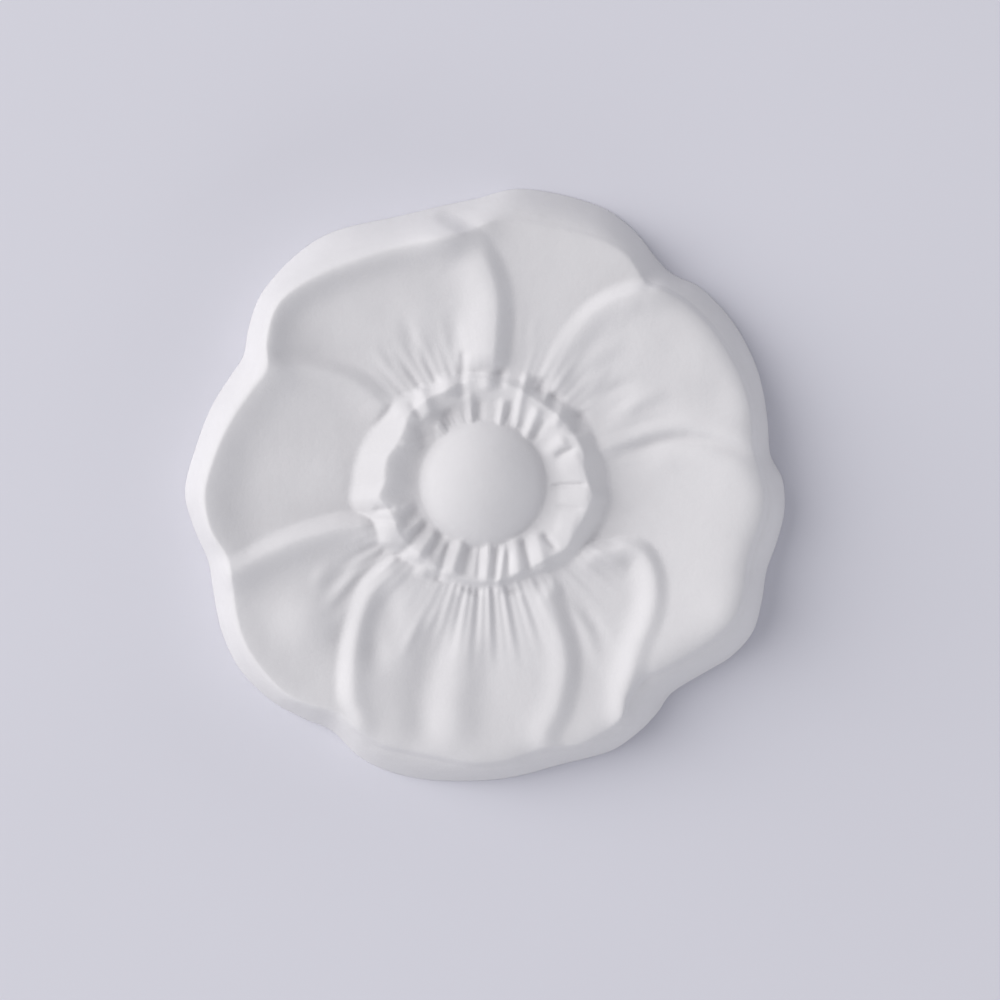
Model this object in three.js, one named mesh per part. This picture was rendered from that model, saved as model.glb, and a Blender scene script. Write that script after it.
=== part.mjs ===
// A flower cast in one piece of white plaster, used as a small mixing palette.
// Eight cupped petals overlap one another round a ring of stamens and a domed middle.
// The back is flat, the outer wall leans in with the draft of the mould, and the whole
// top is one relief: a height above the back for every point of the flower.
import * as THREE from "three";

// Driving dimensions, millimetres. X runs right, Y up the flower, Z out of the flat back.
const BACK_ROUNDING = 0.2; // small corner where the wall meets the flat back
const WALL_FULLNESS = 1.7; // 1 is a straight wall, more bulges it outward near the rim
const SHOULDER = 0.8; // how far past the rim a rounded-off petal goes on falling
const BLEND = 0.5; // softness where stamens meet petals

const DOME = { x: -0.4, y: 0.2, top: 10.9, curvature: 11, radius: 8.8, blend: 0.3 };
const DOME_REACH = 2; // the dome's sphere runs on this far below the stamens
const STAMEN_FOOT_RADIUS = 8.6; // where the stamens meet the dome
const STAMEN_FOOT_HEIGHT = 7.1;
const STAMEN_OUTER_HEIGHT = 5.7; // level the outside of the stamen ring falls towards
const STAMEN_FALL = 1.1; // 1 falls away straight, more falls steeply first
const PETAL_START_RADIUS = 16; // petals are measured outward from here
const CUP_FROM = -0.3; // a petal's cupped curve is followed between these two shares of the
const CUP_TO = 1.15; // way from the start radius to the rim, and is level beyond them
const EDGE_START_RADIUS = 13.5; // a petal's raised side rises out of the stamens from here
const EDGE_START_LENGTH = 4; // and is at its full height this much further out
const EDGE_OVERRUN = 0.3; // a raised side keeps its height this far outside the outline

// Mesh fineness
const SECTORS = 144; // round the flower
const DOME_RINGS = 5;
const STAMEN_RINGS = 13;
const PETAL_RINGS = 15;
const WALL_RINGS = 5;
const DOME_RINGS_END = 0.22; // shares of the way from the middle to the rim
const STAMEN_RINGS_END = 0.5;
const PATCH = 0.4; // half width of the patch whose mean height a vertex takes
const LINE_SAMPLES = 720; // samples of a line round the whole flower
const SAMPLES_PER_POINT = 4; // samples of a smooth line for each of its points

// Lines round the flower, each as [degrees from +X, millimetres].
const WALL_FOOT = [
  [1, 39.4], [6, 38], [12, 38.3], [18, 38.8], [24, 39.2], [31, 39.3], [37, 39.1], [43, 38.6],
  [47, 37.6], [50, 37.3], [54, 37.8], [58, 38.7], [62, 39.4], [67, 39.9], [75, 39.8],
  [84, 39.5], [92, 38], [99, 37.5], [108, 37.5], [118, 38.8], [124, 39.5], [130, 39.6],
  [136, 39.4], [141, 39], [147, 37.7], [152, 36.5], [157, 36.9], [164, 37.9], [172, 38.8],
  [181, 40], [188, 39.3], [195, 38.3], [200, 38.7], [205, 39.5], [210, 40.3], [217, 40.9],
  [225, 40.5], [232, 39.4], [238, 38.6], [245, 39.9], [252, 40.2], [260, 39.9], [270, 39.3],
  [277, 38.9], [285, 38.5], [291, 38.8], [296, 39.1], [302, 38.6], [307, 37.9], [312, 37.1],
  [320, 38.5], [325, 39.8], [331, 40.5], [337, 39.8], [343, 39], [349, 39.4], [355, 39.8],
];
const RIM = [
  [2, 35.9], [8, 35.3], [12, 35.7], [17, 36.1], [24, 36.2], [31, 36], [36, 35.8], [43, 35.2],
  [48, 34.3], [51, 33.6], [55, 34.5], [59, 35.3], [65, 35.3], [73, 34.8], [82, 34.7],
  [88, 34.6], [95, 33], [100, 32.5], [108, 32.9], [115, 33.4], [122, 34.1], [129, 35.1],
  [136, 36], [141, 36.1], [147, 34.7], [152, 32.8], [158, 33.4], [165, 34.7], [172, 35.9],
  [180, 37.2], [185, 37.4], [190, 37], [196, 35.5], [202, 36.2], [208, 37.4], [214, 38.3],
  [221, 38.3], [227, 37.9], [232, 36.8], [237, 35.6], [242, 36.2], [248, 36.7], [254, 36.3],
  [260, 36.2], [266, 36.5], [271, 36.5], [276, 36.1], [283, 35.4], [289, 36.2], [294, 36.1],
  [300, 35.4], [304, 33.2], [309, 32.4], [314, 33.5], [321, 34.9], [326, 36], [332, 36.9],
  [338, 36.5], [342, 35.8], [347, 35.7], [352, 36.3], [357, 36.5],
];
const STAMEN_CREST = [
  [0, 13.9], [8, 13.5], [16, 13.8], [28, 13.6], [40, 13.3], [55, 13], [75, 13.3], [95, 13.6],
  [110, 13.2], [125, 13.2], [138, 13.2], [144, 12.7], [151, 12.4], [158, 12.5], [165, 13],
  [173, 13], [180, 13], [188, 13.8], [195, 13], [204, 12.7], [213, 12.9], [230, 12.6],
  [250, 12.8], [275, 13], [295, 12.7], [312, 13.2], [322, 13.9], [330, 13.8], [340, 14],
  [347, 14.3], [353, 14.6],
];
const STAMEN_END = [
  [0, 17.5], [15, 17.2], [30, 16.8], [45, 16.2], [60, 15.6], [80, 15.8], [100, 16],
  [118, 15.8], [130, 16.6], [138, 17.6], [150, 17], [158, 17], [168, 17.4], [176, 17.8],
  [186, 18.2], [191, 17.8], [196, 17], [204, 17.4], [212, 17], [222, 16.4], [240, 15.4],
  [265, 15.2], [290, 15], [305, 15.6], [320, 17], [332, 17.4], [345, 17.7],
];
const STAMEN_HEIGHT = [
  [0, 9], [20, 9], [45, 8.4], [70, 8.1], [95, 8.1], [120, 8.4], [140, 8.8], [165, 9],
  [185, 9.1], [200, 8.9], [215, 8.6], [240, 8.1], [275, 7.9], [300, 8.1], [325, 8.5],
  [345, 8.9],
];

// Petals from the lowest to the topmost. near, middle and rim are heights above the back.
// lip is the outer rim, raised or rounded off (height below 0), and edge the raised side, each
// as [height, width]; step is how wide the drop beside the outline is. A fold is
// [points, height, width] and a mound [middle, height, radius]; below 0 both are hollows.
const PETALS = [
  {
    name: "north",
    heights: { near: 6.9, middle: 7, rim: 7.9 },
    lip: [-0.4, 1.4],
    edge: [0, 1.5],
    step: 1.3,
    outline: [
      [-8, 40], [5, 44], [20, 40], [28, 28], [18, 8], [0, 0], [-7, 8],
    ],
    folds: [
      [[[3.2, 26], [3.5, 14]], -0.2, 1.4],
    ],
    mounds: [[[-1, 34], 0.9, 2.6]],
  },
  {
    name: "north-west",
    heights: { near: 6.7, middle: 6.6, rim: 7.4 },
    lip: [1.6, 2.2],
    edge: [2, 3.6],
    step: 2.6,
    outline: [
      [0, 2], [0.3, 9.5], [0.6, 14], [1, 18], [1.3, 22], [1.2, 25], [0.6, 27.5], [-0.6, 30],
      [-2.2, 31.8], [-4.5, 33.2], [-7, 35], [-10, 42], [-24, 40], [-37, 24], [-33, 8.5],
      [-11, -2],
    ],
    folds: [
      [[[-11.4, 23.5], [-9.6, 18], [-8.2, 14]], -0.3, 1],
      [[[-14.5, 19.5], [-11, 14.5]], -0.15, 0.8],
      [[[-7.6, 21.5], [-6.6, 18], [-6, 15]], -0.15, 0.8],
      [[[-4.6, 24], [-4, 19], [-3.8, 15]], -0.3, 1.1],
      [[[-15.5, 18], [-12, 14.5], [-9.8, 12.6]], 0.2, 0.9],
    ],
    mounds: [[[-23, 19], 0.5, 3.4], [[-12.5, 23], -0.35, 3]],
  },
  {
    name: "west",
    heights: { near: 5.8, middle: 6.5, rim: 7.8 },
    lip: [0.9, 3],
    edge: [1.4, 2.6],
    step: 2.3,
    outline: [
      [-8.5, 7], [-13.4, 10.4], [-15.2, 12], [-17, 13.2], [-19, 14.1], [-21.5, 14.8],
      [-24.5, 15.3], [-28, 15.8], [-31.5, 17.5], [-37, 20], [-47, 11], [-47, -15], [-31, -20],
      [-8.5, -10],
    ],
    folds: [
      [[[-29.5, 8], [-31, 0], [-29, -8]], -0.35, 3.5],
    ],
    mounds: [[[-20, 1], 0.3, 4]],
  },
  {
    name: "south-west",
    heights: { near: 6.2, middle: 6.8, rim: 7.4 },
    lip: [0.45, 2.8],
    edge: [1.6, 2.4],
    step: 2.5,
    outline: [
      [-8.5, -5.8], [-17, -6.2], [-21, -7.1], [-25.5, -8.7], [-29, -10.4], [-31.5, -12],
      [-34, -13], [-38.5, -12.5], [-47, -15], [-37, -36], [-11, -45], [0, -15],
    ],
    folds: [
      [[[-22.5, -15.5], [-19, -11.8], [-16.5, -9]], -0.3, 0.9],
      [[[-20.8, -17.8], [-17.6, -13.8], [-15, -11]], -0.3, 0.9],
      [[[-20, -22.5], [-18.5, -17.5]], -0.2, 1.2],
      [[[-23.5, -13.8], [-20, -10]], 0.2, 0.9],
      [[[-21.5, -16.8], [-18, -12.8], [-15.8, -10]], 0.25, 0.8],
    ],
    mounds: [[[-25.5, -17.5], 0.9, 3.3]],
  },
  {
    name: "north-east",
    heights: { near: 6.4, middle: 7.1, rim: 9.4 },
    lip: [-1.5, 1.6],
    edge: [1, 2.6],
    step: 2.3,
    outline: [
      [2, 2], [8, 11], [8.8, 13.6], [9.6, 16], [10.8, 18.2], [12.6, 20.6], [14.5, 22.5],
      [16.6, 23.8], [20, 25], [23, 26], [28, 31], [41, 24], [44, -2], [15, -4.5],
    ],
    folds: [
      [[[13.5, 11], [16.5, 12.4], [20.5, 13.6]], -0.4, 1],
      [[[15.5, 8.5], [18, 9.5], [20.5, 11], [24.5, 12.2]], 0.5, 1.1],
      [[[15.2, 6.6], [18.5, 7.2], [22, 8.4], [27, 9]], -0.3, 0.9],
      [[[11.5, 13.5], [15, 17], [19, 20]], 0.3, 1.3],
    ],
    mounds: [[[28.5, 12], -0.35, 3], [[20.5, 18.5], 0.2, 3]],
  },
  {
    name: "east",
    heights: { near: 6.3, middle: 7.5, rim: 10 },
    lip: [-1.6, 1.7],
    edge: [0.35, 2.4],
    step: 3.4,
    outline: [
      [4.5, 0.5], [15, 4.6], [18, 5.6], [21, 6.5], [24, 7.2], [27, 7.2], [30, 6.3],
      [32.5, 5.4], [35, 4.8], [38, 5], [48, 4.5], [48, -22], [28, -35], [10, -20],
    ],
    folds: [
      [[[24, 6.8], [29, 6.2], [33, 5], [38, 3]], -0.4, 1.7],
      [[[16.5, 4.2], [23, 5.8]], -0.2, 0.8],
    ],
    mounds: [],
  },
  {
    name: "south-east",
    heights: { near: 6.4, middle: 6.9, rim: 8.6 },
    lip: [-1, 1.4],
    edge: [1.4, 2.2],
    step: 2.1,
    outline: [
      [4.5, -2], [12, -7.5], [16, -8], [18.5, -7.8], [20.4, -8.5], [21.6, -10.2],
      [22.2, -12.4], [22.2, -14.8], [21.6, -17], [20.6, -19.2], [19.7, -21.4], [19, -24],
      [18.5, -27], [18.5, -30], [19.5, -34], [20, -45], [2, -48], [2, -15],
    ],
    folds: [
      [[[10.2, -14.6], [13, -19], [15, -25]], 0.25, 0.9],
      [[[11.4, -14.2], [14.6, -18.8], [16.5, -22.5]], -0.25, 0.9],
      [[[9.3, -16.5], [11.8, -21.5], [13, -28]], -0.3, 1.4],
    ],
    mounds: [],
  },
  {
    name: "south",
    heights: { near: 7, middle: 7.7, rim: 8.9 },
    lip: [-1.3, 1.6],
    edge: [0.65, 1.8],
    step: 2.6,
    outline: [
      [0, -2], [-8.5, -9], [-11.6, -10.6], [-13.3, -12.5], [-15, -15], [-16.2, -18],
      [-17, -21.5], [-17.4, -25], [-17.3, -28.5], [-16.6, -31], [-17.5, -34], [-23, -48],
      [15, -49], [10.5, -37.5], [8.8, -32.8], [9.8, -29], [10.3, -25], [10.2, -22],
      [9.3, -18.4], [8.2, -15.4], [7.2, -12.5],
    ],
    folds: [
      [[[-11.2, -12.2], [-13.3, -15], [-14.6, -18.5], [-14.8, -22], [-14.4, -26]], -0.9, 1.7],
      [[[-10.8, -13.5], [-13, -16.5]], 0.3, 0.8],
      [[[-6, -17], [-8.4, -23], [-9.2, -29], [-9, -36]], -0.8, 2.4],
      [[[-3.2, -17], [-4.5, -27], [-4.3, -36]], 0.45, 2.2],
      [[[-1, -20], [-0.5, -31]], -0.35, 2.2],
    ],
    mounds: [[[-5, -30.5], 0.5, 3.4]],
  },
];

// Stamens are ribs that lie outward from the dome, with cuts between them, clockwise
// from the left. Each is [points, height, width]; a negative height is a cut.
const STAMENS = [
  [[[-12, 11.8], [-11, 8.4]], 0.25, 1.4],
  [[[-9, 8.6], [-8, 5.2]], -0.4, 1],
  [[[-10, 11.2], [-8.4, 8.2]], -0.35, 0.6],
  [[[-8.8, 13.2], [-7, 8.6]], 0.5, 0.8],
  [[[-6.8, 8.2], [-5, 5.8]], 0.3, 0.7],
  [[[-5.4, 10.2], [-4.3, 7]], -0.55, 0.9],
  [[[-5.3, 14.8], [-5, 11.4]], 0.65, 1.2],
  [[[-2.9, 18], [-3.1, 14.4], [-3.3, 10.8]], -0.35, 0.6],
  [[[-2.1, 12.6], [-1.9, 7.4]], 0.35, 0.6],
  [[[-0.8, 11.6], [-0.8, 8]], -0.3, 0.6],
  [[[0.2, 15.4], [0.2, 11.9]], 0.4, 0.9],
  [[[2.1, 15.8], [1.8, 12.2]], -0.5, 0.7],
  [[[2.4, 11.6], [1.7, 7]], 0.4, 0.6],
  [[[3.6, 11.4], [2.8, 7.8]], -0.3, 0.5],
  [[[5.6, 15], [4.6, 11], [3.9, 7]], 0.4, 0.6],
  [[[7.3, 14.4], [7, 11.4]], -0.65, 0.9],
  [[[7.1, 10.4], [5, 5.5]], 0.55, 0.7],
  [[[8, 8.8], [6, 5.6]], -0.35, 0.5],
  [[[9.4, 12.4], [8.5, 9.6]], -0.6, 0.8],
  [[[10.4, 10.4], [8.8, 7.2]], 0.4, 0.7],
  [[[12.1, 10], [12.3, 6.2]], -0.8, 1.1],
  [[[10.8, 6.2], [7.8, 3.6]], 0.55, 0.9],
  [[[12.2, 5], [9, 3.5]], -0.35, 0.5],
  [[[12.8, 3.9], [9.5, 2]], 0.3, 1.3],
  [[[14.2, -1.7], [9.5, -1.6]], 0.3, 1],
  [[[12.3, -6], [9, -4.8]], 0.3, 1.5],
  [[[9.6, -8.8], [7.3, -6.2]], -0.4, 0.5],
  [[[8, -11.8], [6.4, -5.8]], 0.5, 0.9],
  [[[6, -11.8], [4.8, -6.8]], -0.45, 0.5],
  [[[4.4, -12.6], [3.7, -6.5]], 0.55, 0.9],
  [[[1.5, -14.8], [2.5, -7.6]], 0.35, 0.5],
  [[[0, -13.2], [0.5, -7.3]], 0.45, 0.65],
  [[[-2.9, -12.4], [-1.6, -7.2]], -0.45, 0.75],
  [[[-4.6, -12.2], [-3, -6.8]], 0.5, 0.75],
  [[[-6.4, -13.2], [-5.7, -10.4], [-4.6, -7.2]], -0.35, 0.5],
  [[[-7.6, -9.6], [-5.4, -5.8]], -0.45, 0.7],
  [[[-9.6, -10.4], [-8, -8.2], [-6.3, -5.9]], 0.45, 0.75],
  [[[-8.6, -12.6], [-8, -10.4]], 0.5, 1.1],
  [[[-12.4, -9.8], [-10.6, -8.6], [-9, -6.6], [-7.4, -4.8]], -0.4, 0.6],
  [[[-10.8, -6.6], [-8, -4.4]], 0.3, 0.5],
  [[[-11.2, -5.4], [-8.5, -2.8]], -0.45, 0.9],
  [[[-13.4, -8.8], [-13, -4.8]], 0.6, 1.4],
  [[[-15.2, -3.4], [-11.6, -3.1]], -0.35, 0.5],
  [[[-11.6, 5.4], [-8, 5.2]], 0.25, 0.5],
  [[[3.8, -13.4], [3.6, -15]], -0.4, 1.1],
  [[[-1.2, -13.2], [-1.8, -14.8]], -0.35, 1],
  [[[-3.3, -13], [-3.2, -15]], 0.25, 0.6],
  [[[6, -13.4], [9, -12.6]], -0.3, 1.1],
];
const STAMEN_TAPER = 1.2; // length over which a stamen fades in at its ends
const FOLD_TAPER = 5; // the same for a fold in a petal
const END_FULLNESS = 0.05; // how much of the fade is already there at the very end

const smooth = (share) => {
  const t = THREE.MathUtils.clamp(share, 0, 1);
  return t * t * (3 - 2 * t);
};

// The higher of two heights, with the valley between them filleted.
function softMax(a, b, blend) {
  const t = THREE.MathUtils.clamp(0.5 + (0.5 * (a - b)) / blend, 0, 1);
  return b + (a - b) * t + 0.5 * blend * t * (1 - t);
}

const turn = (degrees) => ((degrees % 360) + 360) % 360;

// Reads a line given as [degrees, value] pairs at any angle, in degrees.
function aroundFlower(pairs) {
  const points = pairs.map(([degrees, value]) => {
    const angle = THREE.MathUtils.degToRad(degrees);
    return new THREE.Vector3(value * Math.cos(angle), value * Math.sin(angle), 0);
  });
  const curve = new THREE.CatmullRomCurve3(points, true, "centripetal");
  const around = curve
    .getPoints(LINE_SAMPLES)
    .slice(0, LINE_SAMPLES)
    .map((p) => [turn(THREE.MathUtils.radToDeg(Math.atan2(p.y, p.x))), Math.hypot(p.x, p.y)])
    .sort((a, b) => a[0] - b[0]);
  const [first, last] = [around[0], around[around.length - 1]];
  const closed = [[last[0] - 360, last[1]], ...around, [first[0] + 360, first[1]]];
  return (degrees) => {
    const at = turn(degrees);
    const next = closed.findIndex(([angle]) => angle > at);
    const [[fromAngle, from], [toAngle, to]] = [closed[next - 1], closed[next]];
    return from + ((to - from) * (at - fromAngle)) / (toAngle - fromAngle);
  };
}

// A smooth line through the points, as short straight pieces.
function smoothLine(points, closed = false) {
  const curve = new THREE.CatmullRomCurve3(
    points.map(([x, y]) => new THREE.Vector3(x, y, 0)),
    closed,
    "centripetal",
  );
  return curve.getPoints(points.length * SAMPLES_PER_POINT);
}

// The distance from a point to a line, how far along it that is, and the line's length.
function nearest(line, x, y) {
  let best = { distance: Infinity, along: 0 };
  let length = 0;
  for (let i = 1; i < line.length; i++) {
    const [from, to] = [line[i - 1], line[i]];
    const [dx, dy] = [to.x - from.x, to.y - from.y];
    const piece = Math.hypot(dx, dy);
    if (piece === 0) continue;
    const share = THREE.MathUtils.clamp(
      ((x - from.x) * dx + (y - from.y) * dy) / piece ** 2, 0, 1,
    );
    const distance = Math.hypot(x - from.x - share * dx, y - from.y - share * dy);
    if (distance < best.distance) best = { distance, along: length + share * piece };
    length += piece;
  }
  return { ...best, length };
}

// Whether a point is inside a closed line.
function isInside(line, x, y) {
  let inside = false;
  for (let i = 1; i < line.length; i++) {
    const [a, b] = [line[i - 1], line[i]];
    const crosses = a.y > y !== b.y > y;
    if (crosses && x < ((b.x - a.x) * (y - a.y)) / (b.y - a.y) + a.x) inside = !inside;
  }
  return inside;
}

// The height that a set of folds adds at a point.
function foldHeight(folds, taper, x, y) {
  let height = 0;
  for (const { line, rise, width } of folds) {
    const { distance, along, length } = nearest(line, x, y);
    const end = Math.min(taper, length / 2);
    const fade =
      smooth(along / end + END_FULLNESS) * smooth((length - along) / end + END_FULLNESS);
    height += rise * Math.exp(-((distance / width) ** 2)) * fade;
  }
  return height;
}

const asFolds = (rows) =>
  rows.map(([points, rise, width]) => ({ line: smoothLine(points), rise, width }));

const footRadius = aroundFlower(WALL_FOOT);
const rimRadius = aroundFlower(RIM);
const stamenCrest = aroundFlower(STAMEN_CREST);
const stamenEnd = aroundFlower(STAMEN_END);
const stamenHeight = aroundFlower(STAMEN_HEIGHT);
const stamens = asFolds(STAMENS);
const petals = PETALS.map((petal) => ({
  ...petal,
  line: smoothLine(petal.outline, true),
  folds: asFolds(petal.folds),
}));

// The height that a set of mounds adds at a point.
function moundHeight(mounds, x, y) {
  let height = 0;
  for (const [[middleX, middleY], rise, radius] of mounds) {
    height += rise * Math.exp(-((Math.hypot(x - middleX, y - middleY) / radius) ** 2));
  }
  return height;
}

// How a petal's outer rim rises, or rounds off, at a distance in from it.
function lipHeight([rise, width], inset) {
  if (rise > 0) return rise * Math.exp(-((inset / width) ** 2));
  return rise * Math.exp(-Math.max(inset, -SHOULDER) / width);
}

// The top of one petal as if it ran on under its neighbours, and how far inside it a point is.
function petalSurface(petal, x, y, radius, rim) {
  const share = THREE.MathUtils.clamp(
    (radius - PETAL_START_RADIUS) / (rim - PETAL_START_RADIUS), CUP_FROM, CUP_TO,
  );
  const { near, middle, rim: high } = petal.heights;
  const cup =
    near * (1 - share) * (1 - 2 * share) +
    middle * 4 * share * (1 - share) +
    high * share * (2 * share - 1);
  const { distance } = nearest(petal.line, x, y);
  const within = isInside(petal.line, x, y) ? distance : -distance;
  const [edgeRise, edgeWidth] = petal.edge;
  const edgeFrom = smooth((radius - EDGE_START_RADIUS) / EDGE_START_LENGTH);
  const beside = Math.max(within, -EDGE_OVERRUN);
  const edge = edgeRise * edgeFrom * Math.exp(-((beside / edgeWidth) ** 2));
  const creases = foldHeight(petal.folds, FOLD_TAPER, x, y) + moundHeight(petal.mounds, x, y);
  return { height: cup + lipHeight(petal.lip, rim - radius) + edge + creases, within };
}

// The eight petals, each laid over the ones before it.
function petalHeight(x, y, radius, rim) {
  let height = 0;
  petals.forEach((petal, order) => {
    const surface = petalSurface(petal, x, y, radius, rim);
    const cover = order ? smooth((surface.within + petal.step) / petal.step) : 1;
    height += (surface.height - height) * cover;
  });
  return height;
}

// The collar under the stamens, which climbs from the dome and falls away outward.
function collarHeight(x, y) {
  const [dx, dy] = [x - DOME.x, y - DOME.y];
  const radius = Math.hypot(dx, dy);
  const degrees = THREE.MathUtils.radToDeg(Math.atan2(dy, dx));
  const crest = stamenCrest(degrees);
  const top = stamenHeight(degrees);
  if (radius < crest) {
    const climb = smooth((radius - STAMEN_FOOT_RADIUS) / (crest - STAMEN_FOOT_RADIUS));
    return STAMEN_FOOT_HEIGHT + (top - STAMEN_FOOT_HEIGHT) * climb;
  }
  const left = Math.max(1 - (radius - crest) / (stamenEnd(degrees) - crest), 0);
  return STAMEN_OUTER_HEIGHT + (top - STAMEN_OUTER_HEIGHT) * left ** STAMEN_FALL;
}

function domeHeight(x, y) {
  const radius = Math.hypot(x - DOME.x, y - DOME.y);
  if (radius > DOME.radius + DOME_REACH) return 0;
  return DOME.top - DOME.curvature + Math.sqrt(Math.max(DOME.curvature ** 2 - radius ** 2, 0));
}

// Height of the finished flower above its flat back.
function flowerHeight(x, y) {
  const radius = Math.hypot(x, y);
  const degrees = THREE.MathUtils.radToDeg(Math.atan2(y, x));
  const [foot, rim] = [footRadius(degrees), rimRadius(degrees)];
  const collared = softMax(petalHeight(x, y, radius, rim), collarHeight(x, y), BLEND);
  const ribbed = collared + foldHeight(stamens, STAMEN_TAPER, x, y);
  const whole = softMax(ribbed, domeHeight(x, y), DOME.blend);
  const upWall = THREE.MathUtils.clamp((foot - radius) / (foot - rim), 0, 1);
  return BACK_ROUNDING + (whole - BACK_ROUNDING) * (1 - (1 - upWall) ** WALL_FULLNESS);
}

// Mean height of the patch round a point, so that a coarse mesh doesn't step over a crease.
function patchHeight(x, y) {
  const offsets = [[0, 0], [PATCH, PATCH], [PATCH, -PATCH], [-PATCH, PATCH], [-PATCH, -PATCH]];
  const heights = offsets.map(([dx, dy]) => flowerHeight(x + dx, y + dy));
  return heights.reduce((sum, height) => sum + height, 0) / heights.length;
}

// Radii of the mesh rings at one angle, from the middle out to the foot of the wall.
function ringRadii(degrees) {
  const [foot, rim] = [footRadius(degrees), rimRadius(degrees)];
  const stops = [
    [DOME_RINGS, 0, DOME_RINGS_END * rim],
    [STAMEN_RINGS, DOME_RINGS_END * rim, STAMEN_RINGS_END * rim],
    [PETAL_RINGS, STAMEN_RINGS_END * rim, rim],
    [WALL_RINGS, rim, foot],
  ];
  return stops.flatMap(([count, from, to]) =>
    Array.from({ length: count }, (_, i) => from + ((to - from) * (i + 1)) / count),
  );
}

// One closed surface: middle, rings out to the wall's foot, rounded corner, flat back.
function flowerGeometry() {
  const rings = ringRadii(0).length;
  const petalRingsEnd = rings - WALL_RINGS - 1;
  const positions = [0, 0, flowerHeight(0, 0)];
  for (let sector = 0; sector < SECTORS; sector++) {
    const degrees = (360 * sector) / SECTORS;
    const angle = THREE.MathUtils.degToRad(degrees);
    const radii = ringRadii(degrees);
    radii.forEach((radius, ring) => {
      const [x, y] = [radius * Math.cos(angle), radius * Math.sin(angle)];
      positions.push(x, y, ring < petalRingsEnd ? patchHeight(x, y) : flowerHeight(x, y));
    });
    const backRadius = radii[rings - 1] - BACK_ROUNDING;
    positions.push(backRadius * Math.cos(angle), backRadius * Math.sin(angle), 0);
  }
  const perSector = rings + 1;
  const backMiddle = positions.length / 3;
  positions.push(0, 0, 0);

  const faces = [];
  for (let sector = 0; sector < SECTORS; sector++) {
    const here = 1 + sector * perSector;
    const next = 1 + ((sector + 1) % SECTORS) * perSector;
    faces.push(0, here, next);
    for (let ring = 0; ring < rings; ring++) {
      faces.push(here + ring, here + ring + 1, next + ring + 1);
      faces.push(here + ring, next + ring + 1, next + ring);
    }
    faces.push(here + rings, backMiddle, next + rings);
  }

  const geometry = new THREE.BufferGeometry();
  geometry.setAttribute("position", new THREE.Float32BufferAttribute(positions, 3));
  geometry.setIndex(faces);
  geometry.computeBoundingBox();
  const middle = geometry.boundingBox.getCenter(new THREE.Vector3());
  geometry.translate(-middle.x, -middle.y, 0); // the origin is the middle of the flat back
  geometry.computeVertexNormals();
  return geometry;
}

const plaster = new THREE.MeshStandardMaterial({
  name: "plaster",
  color: 0xf0eff2,
  roughness: 0.9,
  metalness: 0,
});

const casting = new THREE.Mesh(flowerGeometry(), plaster);
casting.name = "flower_casting";

const flower = new THREE.Group();
flower.name = "flower_palette";
flower.add(casting);

export default flower;
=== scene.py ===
import math

import bpy
import numpy as np
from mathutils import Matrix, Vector


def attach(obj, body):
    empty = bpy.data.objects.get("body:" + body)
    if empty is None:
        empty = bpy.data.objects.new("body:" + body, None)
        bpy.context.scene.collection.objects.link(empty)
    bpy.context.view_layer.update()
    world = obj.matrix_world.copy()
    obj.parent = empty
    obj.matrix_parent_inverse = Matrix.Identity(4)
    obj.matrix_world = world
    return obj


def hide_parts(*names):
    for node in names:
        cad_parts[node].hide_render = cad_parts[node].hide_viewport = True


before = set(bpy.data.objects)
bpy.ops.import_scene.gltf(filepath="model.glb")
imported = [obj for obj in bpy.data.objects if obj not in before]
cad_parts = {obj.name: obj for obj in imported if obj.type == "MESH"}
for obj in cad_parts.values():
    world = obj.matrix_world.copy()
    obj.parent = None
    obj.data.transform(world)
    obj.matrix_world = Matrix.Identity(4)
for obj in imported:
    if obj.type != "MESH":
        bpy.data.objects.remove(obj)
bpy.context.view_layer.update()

# A flower cast in one piece of white plaster, used as a small mixing palette.
#
# The casting's top is one relief, worked out as a height above the flat back for every point:
# eight cupped petals laid over one another, a ring of stamens, and a dome. The wall leans in
# with the draft of the mould. Relief sizes are in millimetres; the mesh is made in metres.
MM = 0.001

# ---------------------------------------------------------------- sizes of the casting, mm
BACK_ROUNDING = 0.2  # small corner where the wall meets the flat back
WALL_FULLNESS = 1.7  # 1 is a straight wall, more bulges it outward near the rim
SHOULDER = 0.8  # how far past the rim a rounded-off petal goes on falling
BLEND = 0.5  # softness where stamens meet petals

DOME_MIDDLE = (-0.4, 0.2)
DOME_TOP = 10.9
DOME_CURVATURE = 11.0
DOME_RADIUS = 8.8
DOME_REACH = 2.0  # the dome's sphere runs on this far below the stamens
DOME_BLEND = 0.3
STAMEN_FOOT_RADIUS = 8.6  # where the stamens meet the dome
STAMEN_FOOT_HEIGHT = 7.1
STAMEN_OUTER_HEIGHT = 5.7  # level the outside of the stamen ring falls towards
STAMEN_FALL = 1.1  # 1 falls away straight, more falls steeply first
PETAL_START_RADIUS = 16.0  # petals are measured outward from here
CUP_FROM = -0.3  # a petal's cupped curve is followed between these two shares of the way
CUP_TO = 1.15  # from the start radius to the rim, and is level beyond them
EDGE_START_RADIUS = 13.5  # a petal's raised side rises out of the stamens from here
EDGE_START_LENGTH = 4.0  # and is at its full height this much further out
EDGE_OVERRUN = 0.3  # a raised side keeps its height this far outside the outline

# Lengths over which the ends of a stamen and of a fold fade in.
STAMEN_TAPER = 1.2
FOLD_TAPER = 5.0
END_FULLNESS = 0.05  # how much of the fade is already there at the very end
FOLD_REACH = 3.0  # a fold is followed out to this many times its width
EVERYWHERE = 200.0  # a distance longer than any in the flower
SHORTEST_PIECE = 1e-9  # shorter pieces of a line are skipped

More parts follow.
